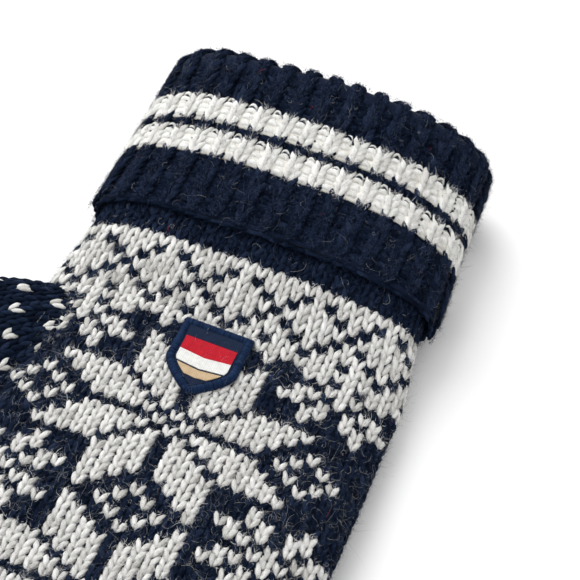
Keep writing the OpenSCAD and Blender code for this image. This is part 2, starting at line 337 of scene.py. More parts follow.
def yarn_object(name, parts):
    """One piece of many closed yarns, each opened flat in its own cell of the baking map."""
    verts, quads, tris, uv_q, uv_t, yarn, tone = [], [], [], [], [], [], []
    cells = math.ceil(math.sqrt(sum(len(p[0]) for p in parts)))
    start, done = 0, 0
    for v, y, t, r, sides in parts:
        n = len(v)
        each = r * sides + 2
        quad, tri, uv_quad, uv_tri = yarn_faces(r, sides)
        base = (start + each * np.arange(n))[:, None, None]
        quads.append((quad[None] + base).reshape(-1, 4))
        tris.append((tri[None] + base).reshape(-1, 3))
        index = done + np.arange(n)
        cell = np.stack([index % cells, index // cells], -1)[:, None]
        for uv, total in ((uv_quad, uv_q), (uv_tri, uv_t)):
            total.append(((uv / [sides, r + 1.0] * 0.9 + 0.05)[None] + cell).reshape(-1, 2) / cells)
        verts.append(v.reshape(-1, 3))
        yarn.append(y.reshape(-1, 3))
        tone.append(t.ravel())
        start += each * n
        done += n
    return new_mesh(name, np.concatenate(verts), np.concatenate(quads), np.concatenate(tris),
                    np.concatenate(uv_q + uv_t), np.concatenate(yarn), np.concatenate(tone))


def tube_object(name, rings, closed_loop=False):
    """A closed surface through equal rings, either a capped tube or a loop of rings."""
    rings = np.array(rings)
    n, m, _ = rings.shape
    k = np.arange(n if closed_loop else n - 1)
    kk, ii = np.meshgrid(k, np.arange(m), indexing="ij")
    nn, jj = (kk + 1) % n, (ii + 1) % m
    quads = np.stack([kk * m + ii, kk * m + jj, nn * m + jj, nn * m + ii], -1).reshape(-1, 4)
    verts = rings.reshape(-1, 3)
    tris = np.zeros((0, 3), int)
    if not closed_loop:
        verts = np.concatenate([verts, [rings[0].mean(0)], [rings[-1].mean(0)]])
        i = np.arange(m)
        j = (i + 1) % m
        tris = np.concatenate([np.stack([np.full(m, n * m), j, i], -1),
                               np.stack([np.full(m, n * m + 1), (n - 1) * m + i, (n - 1) * m + j], -1)])
    return new_mesh(name, verts, quads, tris)


# ---- Materials ----

def nodes_of(name):
    m = bpy.data.materials.new(name)
    m.use_nodes = True
    tree = m.node_tree
    shader = tree.nodes["Principled BSDF"]
    shader.inputs["Roughness"].default_value = 0.92
    shader.inputs["Specular IOR Level"].default_value = 0.06
    return m, tree, shader


def node(tree, kind, vector=None, **values):
    n = tree.nodes.new(kind)
    if vector is not None:
        tree.links.new(vector, n.inputs["Vector"])
    for key, value in values.items():
        if key in n.inputs:
            n.inputs[key].default_value = value
        else:
            setattr(n, key, value)
    return n


def maths(tree, operation, *values):
    """A calculation on sockets and plain numbers."""
    n = node(tree, "ShaderNodeMath", operation=operation)
    for socket, value in zip(n.inputs, values):
        if isinstance(value, float):
            socket.default_value = value
        else:
            tree.links.new(value, socket)
    return n.outputs[0]


def bumped(tree, height, strength, distance, under=None):
    b = node(tree, "ShaderNodeBump", Strength=strength, Distance=distance)
    tree.links.new(height, b.inputs["Height"])
    if under is not None:
        tree.links.new(under, b.inputs["Normal"])
    return b.outputs["Normal"]


def ramp(tree, source, stops):
    r = tree.nodes.new("ShaderNodeValToRGB")
    for k, (at, colour) in enumerate(stops):
        e = r.color_ramp.elements[k] if k < 2 else r.color_ramp.elements.new(at)
        e.position = at
        e.color = (*colour, 1)
    tree.links.new(source, r.inputs["Fac"])
    return r.outputs["Color"]


def finish_material(m, colour, normal, rough, sheen):
    shader = m.node_tree.nodes["Principled BSDF"]
    m.node_tree.links.new(colour, shader.inputs["Base Color"])
    m.node_tree.links.new(normal, shader.inputs["Normal"])
    shader.inputs["Roughness"].default_value = rough
    shader.inputs["Sheen Weight"].default_value = sheen
    return m


def yarn_material(name, dark, middle, light, sheen=0.0, bump=0.55, fleck=0.9, rough=0.92):
    """Twisted wool: fine fibres along each yarn, a tone of its own for each stitch, heathering."""
    m, t, _ = nodes_of(name)
    coords = node(t, "ShaderNodeAttribute", attribute_name="yarn").outputs["Vector"]
    tone = node(t, "ShaderNodeAttribute", attribute_name="tone").outputs["Fac"]
    fibres = node(t, "ShaderNodeTexNoise", coords, Scale=5.5, Detail=4.0, Roughness=0.62).outputs["Fac"]
    ply = node(t, "ShaderNodeTexNoise", coords, Scale=2.2, Detail=2.0).outputs["Fac"]
    amount = maths(t, "MULTIPLY_ADD", maths(t, "ADD", fibres, ply), fleck, maths(t, "SUBTRACT", tone, fleck))
    colour = ramp(t, amount, [(0.1, dark), (0.9, light), (0.5, middle)])
    normal = bumped(t, ply, bump * 0.8, 0.0006, bumped(t, fibres, bump, 0.0005))
    return finish_material(m, colour, normal, rough, sheen)


def cloth_material(name, dark, light, scale=900.0, bump=0.4, rough=0.9, sheen=0.1, distance=0.0003):
    """Felted or brushed cloth without a visible weave."""
    m, t, _ = nodes_of(name)
    place = node(t, "ShaderNodeTexCoord").outputs["Object"]
    fine = node(t, "ShaderNodeTexNoise", place, Scale=scale, Detail=4.0).outputs["Fac"]
    wide = node(t, "ShaderNodeTexNoise", place, Scale=scale / 8, Detail=2.0).outputs["Fac"]
    colour = ramp(t, maths(t, "ADD", fine, wide), [(0.35, dark), (1.0, light)])
    return finish_material(m, colour, bumped(t, fine, bump, distance), rough, sheen)


def woven_material(name, dark, light, pitch=0.00035):
    """Fine ribbon weave: threads across, broken by short floats."""
    m, t, _ = nodes_of(name)
    place = node(t, "ShaderNodeTexCoord").outputs["Object"]
    across = node(t, "ShaderNodeTexWave", place, wave_type="BANDS", bands_direction="Y",
                  Scale=0.31 / pitch, Distortion=0.6, Detail=1.0)
    down = node(t, "ShaderNodeTexWave", place, wave_type="BANDS", bands_direction="X",
                Scale=0.2 / pitch, Distortion=0.4)
    spots = node(t, "ShaderNodeTexNoise", place, Scale=700.0, Detail=3.0)
    both = maths(t, "MULTIPLY_ADD", down.outputs["Fac"], 0.5, across.outputs["Fac"])
    worn = maths(t, "MULTIPLY", both, spots.outputs["Fac"])
    colour = ramp(t, worn, [(0.15, dark), (0.8, light)])
    return finish_material(m, colour, bumped(t, both, 0.6, 0.00012), 0.7, 0.08)


def fuzz_material(name, *colours):
    return yarn_material(name, *colours, bump=0.1)


NAVY = yarn_material("navy_wool", (0.0012, 0.0030, 0.0090), (0.0043, 0.0098, 0.0250),
                     (0.016, 0.027, 0.058))
# Painted shade: the hand's off-white is the cuff's off-white wool (RIB_LIGHT below) made darker, because the
# hand's light stitches catch less light than the cuff's stripes.
LIGHT = yarn_material("off_white_wool_painted_shade", (0.50, 0.49, 0.46), (0.77, 0.765, 0.74), (0.90, 0.895, 0.875),
                      bump=0.6)
RIB_LIGHT = yarn_material("off_white_rib_wool", (0.66, 0.65, 0.61), (0.88, 0.875, 0.845),
                          (0.96, 0.955, 0.935), bump=0.6)
NAVY_BASE = cloth_material("navy_floats", (0.0014, 0.0030, 0.0088), (0.0062, 0.0122, 0.0310))
LIGHT_BASE = cloth_material("off_white_floats", (0.42, 0.40, 0.36), (0.80, 0.78, 0.72))
FLEECE = cloth_material("fleece", (0.55, 0.52, 0.46), (0.86, 0.84, 0.78), scale=500.0, bump=0.9,
                        sheen=0.4, distance=0.0006)
SEAM = yarn_material("overlock_thread", (0.5, 0.47, 0.41), (0.72, 0.69, 0.62), (0.85, 0.82, 0.76),
                     sheen=0.12)
SATIN = woven_material("label_satin", (0.72, 0.71, 0.68), (0.92, 0.92, 0.9))
FUZZ_NAVY = fuzz_material("navy_fuzz", (0.0015, 0.0038, 0.0115), (0.0088, 0.0160, 0.0385),
                          (0.040, 0.054, 0.095))
FUZZ_LIGHT = fuzz_material("light_fuzz", (0.38, 0.38, 0.38), (0.68, 0.67, 0.65), (0.90, 0.89, 0.87))
FUZZ_GREY = fuzz_material("grey_fuzz", (0.10, 0.11, 0.13), (0.28, 0.29, 0.31), (0.62, 0.62, 0.60))
FUZZ_RED = fuzz_material("red_fuzz", (0.25, 0.02, 0.02), (0.4, 0.04, 0.04), (0.5, 0.08, 0.06))


def finish_piece(ob, body, slot, *materials, replaces=()):
    for m in materials:
        ob.data.materials.append(m)
    if replaces:
        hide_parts(*replaces)
    if body:
        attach(ob, body)
    return ob


# ---- Stitches ----

# A leg of a stitch in three directions: across its column, along it and out of the cloth.
# It starts under the stitch above, comes up over this row and tucks in at the V's foot.
LEG_PITCH = 3.9           # the stitch width that these numbers are for
LEG_ACROSS = np.array([1.48, 1.40, 1.20, 0.94, 0.68, 0.44, 0.28])
LEG_ALONG = np.array([2.45, 1.88, 1.18, 0.38, -0.48, -1.28, -1.92])
LEG_OUT = np.array([-1.15, -0.66, -0.27, -0.05, 0.02, -0.10, -0.50])
LEG_THICK = np.array([0.36, 0.74, 0.98, 1.00, 0.94, 0.72, 0.32])


def legs(skin, a, f, side, width=1.0, height=1.0, thick=0.80, sink=0.62, across=LEG_ACROSS, along=LEG_ALONG,
         out=LEG_OUT, jitter=0.09, sides=8, step=1, flat=0.66, straight=False):
    """The legs of stitches at rows a and places f. side is -1 or 1 for each. Straight columns keep
    their distance from the middle of the back or of the palm where the knitting narrows."""
    n = len(a)
    pick = slice(None, None, step)
    ac, al, ou, th = (np.asarray(v)[pick] for v in (across, along, out, LEG_THICK))
    wobble = rng.normal(0, jitter, (3, n, 1))
    lean = rng.normal(0, 0.07, (n, 1))
    size = 1 + rng.normal(0, 0.06, (n, 1))
    x = side[:, None] * ac * width * (1 + 0.4 * wobble[2]) + wobble[0] * 0.8 + lean * al
    y = al * height * (1 + 0.5 * wobble[2]) + wobble[1]
    spot, _ = skin.at(a, f)
    aa = (a + 0.45 * waves(spot + 90, 33))[:, None] + y
    ff = np.broadcast_to(f[:, None], aa.shape)
    if straight:
        less = skin.round_at(a)[:, None] / skin.round_at(aa)
        ff = np.where(np.abs(ff) <= 0.25, ff * less, np.sign(ff) * (0.5 - (0.5 - np.abs(ff)) * less))
    ff = ff + (0.42 * waves(spot, 29)[:, None] + x) / skin.round_at(aa)
    p, nrm = skin.at(aa, ff)
    centre = p + nrm * (ou - sink + rng.normal(0, 0.07, (n, 1)))[..., None]
    centre = centre + rng.normal(0, 0.035, centre.shape)
    w = thick * th * size * (1 + rng.normal(0, 0.05, centre.shape[:2]))
    return strands(centre, nrm, w, w * flat, sides=sides)


def split(name, skin, body, slot, material, a, f, side, limit=1650, padded=False, **kw):
    """Legs in pieces small enough to export whole, padded or not by flat legs under them."""
    pieces = []
    count = math.ceil(len(a) / limit)
    order = np.argsort(a, kind="stable")
    for k, chosen in enumerate(np.array_split(order, count)):
        stitches = skin, a[chosen], f[chosen], side[chosen]
        parts = [legs(*stitches, **kw)]
        if padded:
            parts.append(legs(*stitches, width=kw["width"], height=0.85, thick=0.9, flat=0.42, sink=1.0,
                              sides=6, step=2, straight=True))
        ob = yarn_object(f"{name}_{k + 1}" if count > 1 else name, parts)
        pieces.append(finish_piece(ob, body, slot, material))
    return pieces


def both_legs(a, f):
    return np.concatenate([a, a]), np.concatenate([f, f]), np.repeat([-1.0, 1.0], len(a))


def star_light(i, j):
    """Whether stitch i from the middle, j rows from the first star's centre, is light."""
    a = np.abs((i + 10) % 20 - 10)
    b = np.abs((j + 10) % 20 - 10)
    u, v = 10 - a, 10 - b
    petal = ((a >= 1) & (a <= 4) & (b > a) & (b <= a + 5)) | ((b >= 1) & (b <= 4) & (a > b) & (a <= b + 5))
    petal &= (np.abs(i) <= 10) | (j > 5)
    diamond = (a + v == 2) | (u + b == 2)
    small = (((u >= 1) & (u <= 2) & (v > u) & (v <= u + 2))
             | ((v >= 1) & (v <= 2) & (u > v) & (u <= v + 2)) | (u + v <= 1))
    return petal | (a + b == 1) | diamond | small


def band_light(i, j):
    """The zigzag band between the stars and the cuff, over a repeat of six stitches."""
    k = np.abs((i + 3) % 6 - 3)
    return ((j == 12) | (j == 19) | ((j == 13) & (i % 3 != 0)) | (((j == 14) | (j == 18)) & (k != 1))
            | (((j == 15) | (j == 17)) & (k != 2)) | ((j == 16) & (k != 3))) & (j >= 12) & (j <= 19)


def lice_light(k, j):
    return ((k % 4 == 0) & (j % 4 == 0)) | ((k % 4 == 2) & (j % 4 == 2))


def narrowed(i, half, quarter, pitch, girth, side):
    """Places of a row's stitches in a tip, their distance to its side and which of them are there."""
    k = half - np.abs(i)
    top = np.abs(i) <= quarter
    f = np.where(top, i * pitch / girth, np.sign(i) * (0.5 - k * pitch / girth))
    reach = np.where(top, side * girth - np.abs(i) * pitch, (0.5 - side) * girth - k * pitch)
    return f, reach, reach > -0.35 * pitch


# ---- Hand ----

hand_along = np.concatenate([Y_TIP + 0.2 + (Y_TAPER - Y_TIP) * np.linspace(0, 1, 26)[:-1] ** 1.9,
                             np.arange(Y_TAPER, Y_JOIN + 3, 2.0)])
hand_skin = Skin(hand_along, lambda y: hand_ring(y, 0.0), lump=0.75)
pitch_mm = np.interp(Y_TAPER, hand_skin.along, hand_skin.girth) / PITCH_COUNT

stitches = []
first_row = math.ceil((Y_TIP + 1.0 - FIRST_STAR) / ROW)
last_row = math.floor((Y_JOIN + 0.5 - FIRST_STAR) / ROW)
nose_rows = [(first_row - 2, Y_TIP + 0.4), (first_row - 1, Y_TIP + 1.5)]
for j, y in nose_rows + [(j, FIRST_STAR + j * ROW) for j in range(first_row, last_row + 1)]:
    girth = float(hand_skin.round_at(y))
    side = float(np.interp(y, hand_skin.along, hand_skin.side))
    i = np.arange(1 - HALF, HALF + 1)
    far = np.abs(i)
    if y >= Y_TAPER:
        f = i / PITCH_COUNT
        keep = np.full(len(i), True)
        edge = far == QUARTER
    else:
        f, reach, keep = narrowed(i, HALF, QUARTER, pitch_mm, girth, side)
        edge = (far <= QUARTER) & (reach < 0.65 * pitch_mm)
    light = np.where(far < QUARTER, star_light(i, np.array(j)) & (j <= 11), False)
    light = np.where(far > QUARTER, lice_light(HALF - far, np.array(j)) & (j <= 10), light)
    nose = (y < Y_TIP + 6) & ((j < first_row) | (far > 3))
    light = np.where(edge | nose, False, light) | band_light(i, np.array(j))
    stitches.append((np.full(keep.sum(), y), f[keep], light[keep], (far <= QUARTER + 2)[keep]))
stitches = joined(stitches)

# Stitches that the gusset grows out of aren't there
thumb_dir = np.array([-math.sin(THUMB_ANGLE), -math.cos(THUMB_ANGLE)])
thumb_side = np.array([math.cos(THUMB_ANGLE), -math.sin(THUMB_ANGLE)])


def inside_thumb(p, margin):
    """Whether points lie within the thumb's outline."""
    d = p[..., :2] - PIVOT[:2]
    s, x = d @ thumb_dir, d @ thumb_side
    wedge = thumb_wedge(s)
    half = mix(THUMB_W, WEDGE_W, wedge) / 2 - margin
    t = mix(THUMB_T, WEDGE_T, wedge)
    z = p[..., 2] - WEDGE_RISE * wedge
    return (s > THUMB_ROOT) & (np.abs(x - WEDGE_SHIFT * wedge) < half) & (z > margin) & (z < t - margin)


def inside_hand(p, margin, from_side=0.0):
    """Whether points lie within the hand's outline, and this far from its sides."""
    w, t, e, _ = hand_outline(p[..., 1])
    z0 = mix(0, INNER_OFF, e)
    x, z = np.abs(p[..., 0]), p[..., 2]
    c = np.clip(x / (w / 2 - margin), 0, 1)
    side_z = z0 + SIDE_SHARE * t
    up = side_z + (z0 + t - side_z) * np.maximum(1 - c ** (2 / CROWN), 0) ** (CROWN / 2)
    c = np.clip((x - w / 2 + EDGE_R) / EDGE_R, 0, 1)
    down = side_z - (side_z - z0) * np.sqrt(np.maximum(1 - c ** 2, 0))
    return (x < w / 2 - margin - from_side) & (z < up - margin) & (z > down + margin)


where, _ = hand_skin.at(*stitches[:2])
keep = ~inside_thumb(where, 1.6)
stitch_a, stitch_f, stitch_light, stitch_top = (v[keep] for v in stitches)
wide = float(hand_skin.round_at(0.0)) / PITCH_COUNT / LEG_PITCH
for light, top, name in ((False, True, "navy_back"), (True, True, "light_back"),
                         (False, False, "navy_palm"), (True, False, "light_palm")):
    pick = (stitch_light == light) & (stitch_top == top)
    a, f, s = both_legs(stitch_a[pick], stitch_f[pick])
    split("yarn_hand_" + name, hand_skin, "hand", "pattern_knit", LIGHT if light else NAVY, a, f, s,
          width=wide, thick=0.72 if light else 0.74, sides=8 if top else 6, step=1 if top else 2,
          limit=1200 if top else 2400, sink=0.48 if light else 0.60, padded=light, straight=True)

BASE_DEPTH = 1.35         # the plain cloth under the stitches
under = list(hand_skin.p - hand_skin.n * BASE_DEPTH)
inner = [hand_ring(max(y, Y_TIP + 4.0), KNIT_T)[0] for y in hand_skin.along[::-1]]
base = tube_object("knit_base_hand", under + inner)
finish_piece(base, "hand", "pattern_knit", NAVY_BASE, replaces=["hand_shell"])

# ---- Thumb and gusset ----

s_values = np.concatenate([THUMB_L - 0.3 - THUMB_TIP_L * np.linspace(0, 1, 18)[:-1] ** 1.9,
                           np.arange(THUMB_L - THUMB_TIP_L, THUMB_ROOT - 1.1, -2.0)])
thumb_skin = Skin(-s_values, lambda a: thumb_ring(-a, 0.0), lump=0.5)
thumb_pitch = float(thumb_skin.round_at(-40.0)) / THUMB_COUNT
stitches = []
for j in range(math.floor((THUMB_L - 1.2 - THUMB_ROOT) / ROW) + 1):
    s = THUMB_L - 1.2 - j * ROW
    girth = float(thumb_skin.round_at(-s))
    side = float(np.interp(-s, thumb_skin.along, thumb_skin.side))
    count = max(8, round(girth / thumb_pitch / 2) * 2) if s < WEDGE_START + 2 else THUMB_COUNT
    i = np.arange(-count // 2 + 1, count // 2 + 1)
    if s > THUMB_L - THUMB_TIP_L:
        f, _, keep = narrowed(i, count // 2, count // 4, thumb_pitch, girth, side)
    else:
        f = i / count
        keep = np.full(len(i), True)
    stitches.append((np.full(keep.sum(), -s), f[keep], lice_light(i, np.array(j))[keep]))
stitches = joined(stitches)
where, _ = thumb_skin.at(*stitches[:2])
keep = ~inside_hand(where, 1.2, 9.0)
thumb_a, thumb_f, thumb_light = (v[keep] for v in stitches)


def bend(ob):
    """Fabric that crosses from the gusset to the thumb: its placement is baked into its mesh."""
    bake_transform(ob)


thumb_pieces = []
for light in (False, True):
    a, f, s = both_legs(thumb_a[thumb_light == light], thumb_f[thumb_light == light])
    thumb_pieces += split("yarn_thumb_" + ("light" if light else "navy"), thumb_skin, None,
                          "pattern_knit", LIGHT if light else NAVY, a, f, s, thick=0.76, straight=True)
under = list(thumb_skin.p - thumb_skin.n * BASE_DEPTH)
inner = [thumb_ring(min(-y, THUMB_L - 4), KNIT_T)[0] for y in thumb_skin.along[::-1]]
base = tube_object("knit_base_thumb", under + inner)
finish_piece(base, None, "pattern_knit", NAVY_BASE, replaces=["thumb_shell", "thumb_gusset"])
thumb_pieces.append(base)
lining = [thumb_ring(min(-y, THUMB_L - 4.5), KNIT_T + 0.2)[0] for y in thumb_skin.along[::2]]
lining += [thumb_ring(min(-y, THUMB_L - 7), KNIT_T + LINER_T)[0] for y in thumb_skin.along[::-2]]
fleece = tube_object("thumb_fleece", lining)
finish_piece(fleece, None, "fleece", FLEECE, replaces=["thumb_liner"])
thumb_pieces.append(fleece)
for ob in thumb_pieces:
    bend(ob)

# ---- Cuff ----

def cuff_path(q):
    """Distance from the free edge, over the fold, to a ring of the turned-up rib's outside."""
    run = Y_LIP - Y_HEM
    if q <= run:
        return cuff_ring(Y_HEM + q, 0.0)
    turn = min((q - run) / FOLD_R, math.pi)
    return cuff_ring(Y_LIP + FOLD_R * math.sin(turn), FOLD_R * (1 - math.cos(turn)))


LIP_END = (Y_LIP - Y_HEM) + math.pi * FOLD_R
outer_skin = Skin(np.concatenate([np.arange(-2, Y_LIP - Y_HEM, 2.0),
                                  np.linspace(Y_LIP - Y_HEM, LIP_END, 13)]), cuff_path, lump=0.6)
# The inner layer seen from outside once the cuff is unrolled, and from within the wrist
sleeve_skin = Skin(np.arange(Y_JOIN - 4, Y_LIP + 0.1, 2.0), lambda y: inner_ring(y, 0.0))
wrist_skin = Skin(-np.arange(Y_LIP, Y_JOIN - 2, -2.0), lambda a: inner_ring(-a, RIB_T))
lining_skin = Skin(-np.arange(Y_LIP, Y_HEM + 1, -2.0), lambda a: cuff_ring(-a, RIB_T))

RIB_ACROSS = np.array([1.70, 1.62, 1.42, 1.14, 0.86, 0.62, 0.44])
RIB_ALONG = np.array([3.20, 2.45, 1.50, 0.45, -0.60, -1.60, -2.35])
RIB_OUT = np.array([-1.35, -0.80, -0.34, -0.08, 0.00, -0.12, -0.55])
PURL_ACROSS = np.array([-1.90, -1.40, -0.72, 0.00, 0.72, 1.40, 1.90])
PURL_ALONG = np.array([-0.90, -0.32, 0.10, 0.25, 0.10, -0.32, -0.90])
PURL_OUT = np.array([-0.85, -0.30, -0.05, 0.00, -0.05, -0.30, -0.85])

STRIPE_TOP = 98.9 - Y_HEM      # the first light row's middle, from the free edge
STRIPES = ((0, 2), (5, 7))     # first and last row, counted from the first light row to the free edge


def stripe_row(k):
    return any(first <= k <= last for first, last in STRIPES)


# In the purl columns a stripe starts with a thin light dash towards the fold and a dark one under it
DASHES = ((False, 0.95), (True, 1.8))     # whether light, and the distance up from the row


def rib_place(k):
    """A row's distance from the free edge. The dark rows between the stripes are drawn in."""
    drawn_in = 0.45 * min(max(k - 2, 0), 3)
    return STRIPE_TOP - k * RIB_ROW + drawn_in


MOST_YARNS = 1750         # yarns above which a detailed cuff piece is made in two; in one piece, to export it whole


def stretch(ob):
    """The throat of the inner rib joins the still sleeve to the fold; its placement is baked into its mesh.
    """
    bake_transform(ob)


def rib_yarns(name, skin, body, k_range, q_of, light_of=lambda k: False, detail=False):
    """Knit ribs and the purl columns between them, finer with detail. Without a body their placement is
    baked into their meshes.
    """
    knit, purl, dash = ({False: [], True: []} for _ in range(3))
    ribs = np.arange(RIBS)
    for k in k_range:
        q = q_of(k)
        sway = 0.0011 * np.sin(ribs * 1.7 + q * 0.09) + 0.0008 * np.sin(ribs * 0.6 - q * 0.05)
        purl_f = (ribs + 0.5) / RIBS + sway
        knit[light_of(k)].append((np.full(RIBS, q), ribs / RIBS + sway))
        purl[light_of(k)].append((np.full(RIBS, q), purl_f))
        if detail and k in [first for first, _ in STRIPES]:
            for light, rise in DASHES:
                dash[light].append((np.full(RIBS, q + rise), purl_f))

    def purl_legs(a, f, sink, thick, spread=1.0, along=PURL_ALONG, jitter=0.16, **kw):
        return legs(skin, a, f, np.ones(len(a)), thick=thick, sink=sink, across=PURL_ACROSS * spread,
                    along=along, out=PURL_OUT, jitter=jitter, **kw)

    grain = {"sides": 8, "step": 1} if detail else {"sides": 6, "step": 2}
    for light in (False, True):
        if not knit[light]:
            continue
        a, f = joined(knit[light])
        parts = [legs(skin, *both_legs(a, f), thick=0.90, sink=0.80, across=RIB_ACROSS, along=RIB_ALONG,
                      out=RIB_OUT, jitter=0.13, **grain)]
        a, f = joined(purl[light])
        parts.append(purl_legs(a, f, 1.4 if light else 2.4 if detail else 1.1, 0.92, **grain))
        if detail and light:
            parts.append(purl_legs(a, f, 2.0, 1.15, spread=1.15, jitter=0.09, sides=6, step=2))
        if detail:
            parts.append(purl_legs(a + RIB_ROW / 2, f, 1.6 if light else 2.4, 0.7, spread=0.9,
                                   along=-PURL_ALONG, jitter=0.2, sides=6, step=2))
            a, f = joined(dash[light])
            parts.append(purl_legs(a, f, 1.15, 0.42, spread=0.66, sides=6))
        groups = [parts]
        if detail and sum(len(p[0]) for p in parts) > MOST_YARNS:
            groups = [parts[:1], parts[1:]]
        for g, group in enumerate(groups):
            number = f"_{g + 1}" if len(groups) > 1 else ""
            ob = yarn_object(f"{name}_{'light' if light else 'navy'}{number}", group)
            finish_piece(ob, body, *(("off_white_rib", RIB_LIGHT) if light else ("navy_rib", NAVY)))
            if body is None:
                stretch(ob)


top_row = -math.floor((LIP_END - STRIPE_TOP) / RIB_ROW)
end_row = math.floor((STRIPE_TOP + 0.9) / RIB_ROW)
rib_yarns("rib_outer", outer_skin, "turned_cuff", range(top_row, end_row + 1), rib_place, stripe_row,
          detail=True)
inner_rows = math.floor((Y_LIP - Y_JOIN - 1.0) / RIB_ROW)
hand_rows = math.floor((Y_THROAT - Y_JOIN - 1.5) / RIB_ROW)
for body, k_range, name in (("hand", range(hand_rows), ""),
                            (None, range(hand_rows, inner_rows), "_throat")):
    rib_yarns("rib_sleeve" + name, sleeve_skin, body, k_range, lambda k: Y_JOIN + 1.5 + k * RIB_ROW)
    rib_yarns("rib_wrist" + name, wrist_skin, body, k_range, lambda k: -(Y_JOIN + 1.5 + k * RIB_ROW))
rows = math.floor((Y_LIP - Y_HEM) / RIB_ROW)
rib_yarns("rib_lining", lining_skin, "turned_cuff", range(rows), lambda k: -(Y_LIP - 1.0 - k * RIB_ROW))

FOLD_NEAR, FOLD_RAISE = 5, 0.75     # the base is raised over the fold, where the ribs spread open


def ring_pair(skin, low_along, high_along, out_in, step=2.0):
    """Rings out along a skin at depth out_in[0] and back at depth out_in[1], higher over the fold."""
    rows = np.arange(low_along, high_along + 0.01, step)
    f = np.arange(skin.p.shape[1]) / skin.p.shape[1]
    out = []
    for depth, order in ((out_in[0], rows), (out_in[1], rows[::-1])):
        for a in order:
            p, n = skin.at(np.full(len(f), a), f)
            over_fold = ease((a - Y_LIP + Y_HEM + FOLD_NEAR) / FOLD_NEAR) if skin is outer_skin else 0
            out.append(p - n * (depth - FOLD_RAISE * over_fold))
    return np.array(out)


def rib_base(name, skin, lo, hi, depths, body, stands_for, slot="navy_rib", material=NAVY_BASE):
    """The plain cloth under the ribs. It stands for CAD nodes, or for none."""
    ob = tube_object(name, ring_pair(skin, lo, hi, depths), closed_loop=True)
    return finish_piece(ob, body, slot, material, replaces=stands_for)


INNER_BASE = (1.5, 2.6)
rib_base("rib_base_turnup", outer_skin, 0.8, LIP_END - 0.5, (2.4, 3.2), "turned_cuff",
         ["cuff_turnup", "cast_off_edge"])
rib_base("rib_base_sleeve", sleeve_skin, Y_JOIN - 3, Y_THROAT - 1, INNER_BASE, "hand", ["cuff_inner"])
stretch(rib_base("rib_base_throat", sleeve_skin, Y_THROAT + 0.5, Y_LIP, INNER_BASE, None,
                 ["cuff_throat"]))
for k, (first, last) in enumerate(STRIPES):
    hi, lo = rib_place(first) + RIB_ROW / 2, rib_place(last) - RIB_ROW / 2
    rib_base(f"rib_base_stripe_{k + 1}", outer_skin, lo, hi, (1.45, 2.65), "turned_cuff",
             [] if k else ["cuff_stripes"], "off_white_rib", LIGHT_BASE)

# Cast-off chain along the free edge: linked loops that run round it
n = RIBS * 2
f = (np.arange(n) + 0.25) / n
chain_across = [-2.2, -1.5, -0.75, 0.0, 0.75, 1.5, 2.2]
chain = legs(outer_skin, np.full(n, 0.1), f, np.ones(n), thick=0.62, sink=2.2, across=chain_across,
             along=[0.5, 0.15, -0.12, -0.2, -0.1, 0.2, 0.55],
             out=[-1.3, -0.55, -0.1, 0.0, -0.1, -0.6, -1.4], jitter=0.12)
under_chain = legs(outer_skin, np.full(n, 0.35), f + 0.5 / n, np.ones(n), thick=0.78, sink=2.9,
                   across=chain_across, along=[0.5, 0.1, -0.1, -0.15, -0.1, 0.1, 0.5],
                   out=[-0.5, -0.2, 0.0, 0.0, 0.0, -0.2, -0.5], jitter=0.12)
finish_piece(yarn_object("cast_off_chain", [chain, under_chain]), "turned_cuff", "navy_rib", NAVY)

# ---- Lining, seam and label ----

bag = [hand_ring(max(y, Y_TIP + 5.5), KNIT_T + 0.2)[0] for y in hand_skin.along[::2] if y < Y_JOIN - 1]
bag += [hand_ring(max(y, Y_TIP + 8), KNIT_T + LINER_T + 0.18 * math.sin(y * 0.9))[0]
        for y in hand_skin.along[::-2] if y < Y_JOIN - 1]
finish_piece(tube_object("hand_fleece", bag), "hand", "fleece", FLEECE, replaces=["hand_liner"])
seam_skin = Skin(-np.arange(Y_JOIN + 4, Y_JOIN - 1, -1.0), lambda a: inner_ring(-a, RIB_T + 0.2))
n = 300
odd = np.arange(n) % 2
seam_a = -(Y_JOIN + 1.6) + np.where(odd, 0.25, -0.25)
loops = legs(seam_skin, seam_a, np.arange(n) / n, np.where(odd, 1.0, -1.0),
             thick=0.27, sink=-0.35, across=[-0.5, -0.42, -0.22, 0.0, 0.22, 0.42, 0.5],
             along=[-1.7, -1.3, -0.6, 0.0, 0.6, 1.3, 1.7], out=[-0.5, 0.0, 0.15, 0.2, 0.15, 0.0, -0.5],
             jitter=0.05, sides=6)
finish_piece(yarn_object("overlock_loops", [loops]), "hand", "thread", SEAM, replaces=["liner_seam"])

lab_low, lab_high = low("care_label"), high("care_label")
across_n, along_n = 19, 27
gx, gy = np.meshgrid(np.linspace(0, 1, across_n), np.linspace(0, 1, along_n), indexing="ij")
lx = mix(lab_low[0], lab_high[0], gx)
ly = mix(lab_low[1], lab_high[1], gy)
lz = lab_low[2] + 0.55 + 0.9 * np.sin(gy * 2.4) * gy + 0.35 * np.sin(gx * 3.3 + 0.5) * gy
sheet_top = np.stack([lx, ly, lz], -1).reshape(-1, 3)
grid = np.arange(across_n * along_n).reshape(across_n, along_n)
face = np.stack([grid[:-1, :-1], grid[1:, :-1], grid[1:, 1:], grid[:-1, 1:]], -1).reshape(-1, 4)
label = new_mesh("blank_care_label", sheet_top, face, np.zeros((0, 3), int))
thick = label.modifiers.new("thickness", "SOLIDIFY")
thick.thickness = 0.0003
thick.offset = 0
finish_piece(label, "hand", "label_satin", SATIN, replaces=["care_label"])


def dress(name, material):
    """A CAD node that is carried over with a material of its own."""
    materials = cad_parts[name].data.materials
    materials.clear()
    materials.append(material)


for name in ("tip_closing_yarn", "thumb_tip_yarn"):
    dress(name, cloth_material(name + "_wool", (0.004, 0.006, 0.014), (0.02, 0.03, 0.06)))

# ---- Badge ----

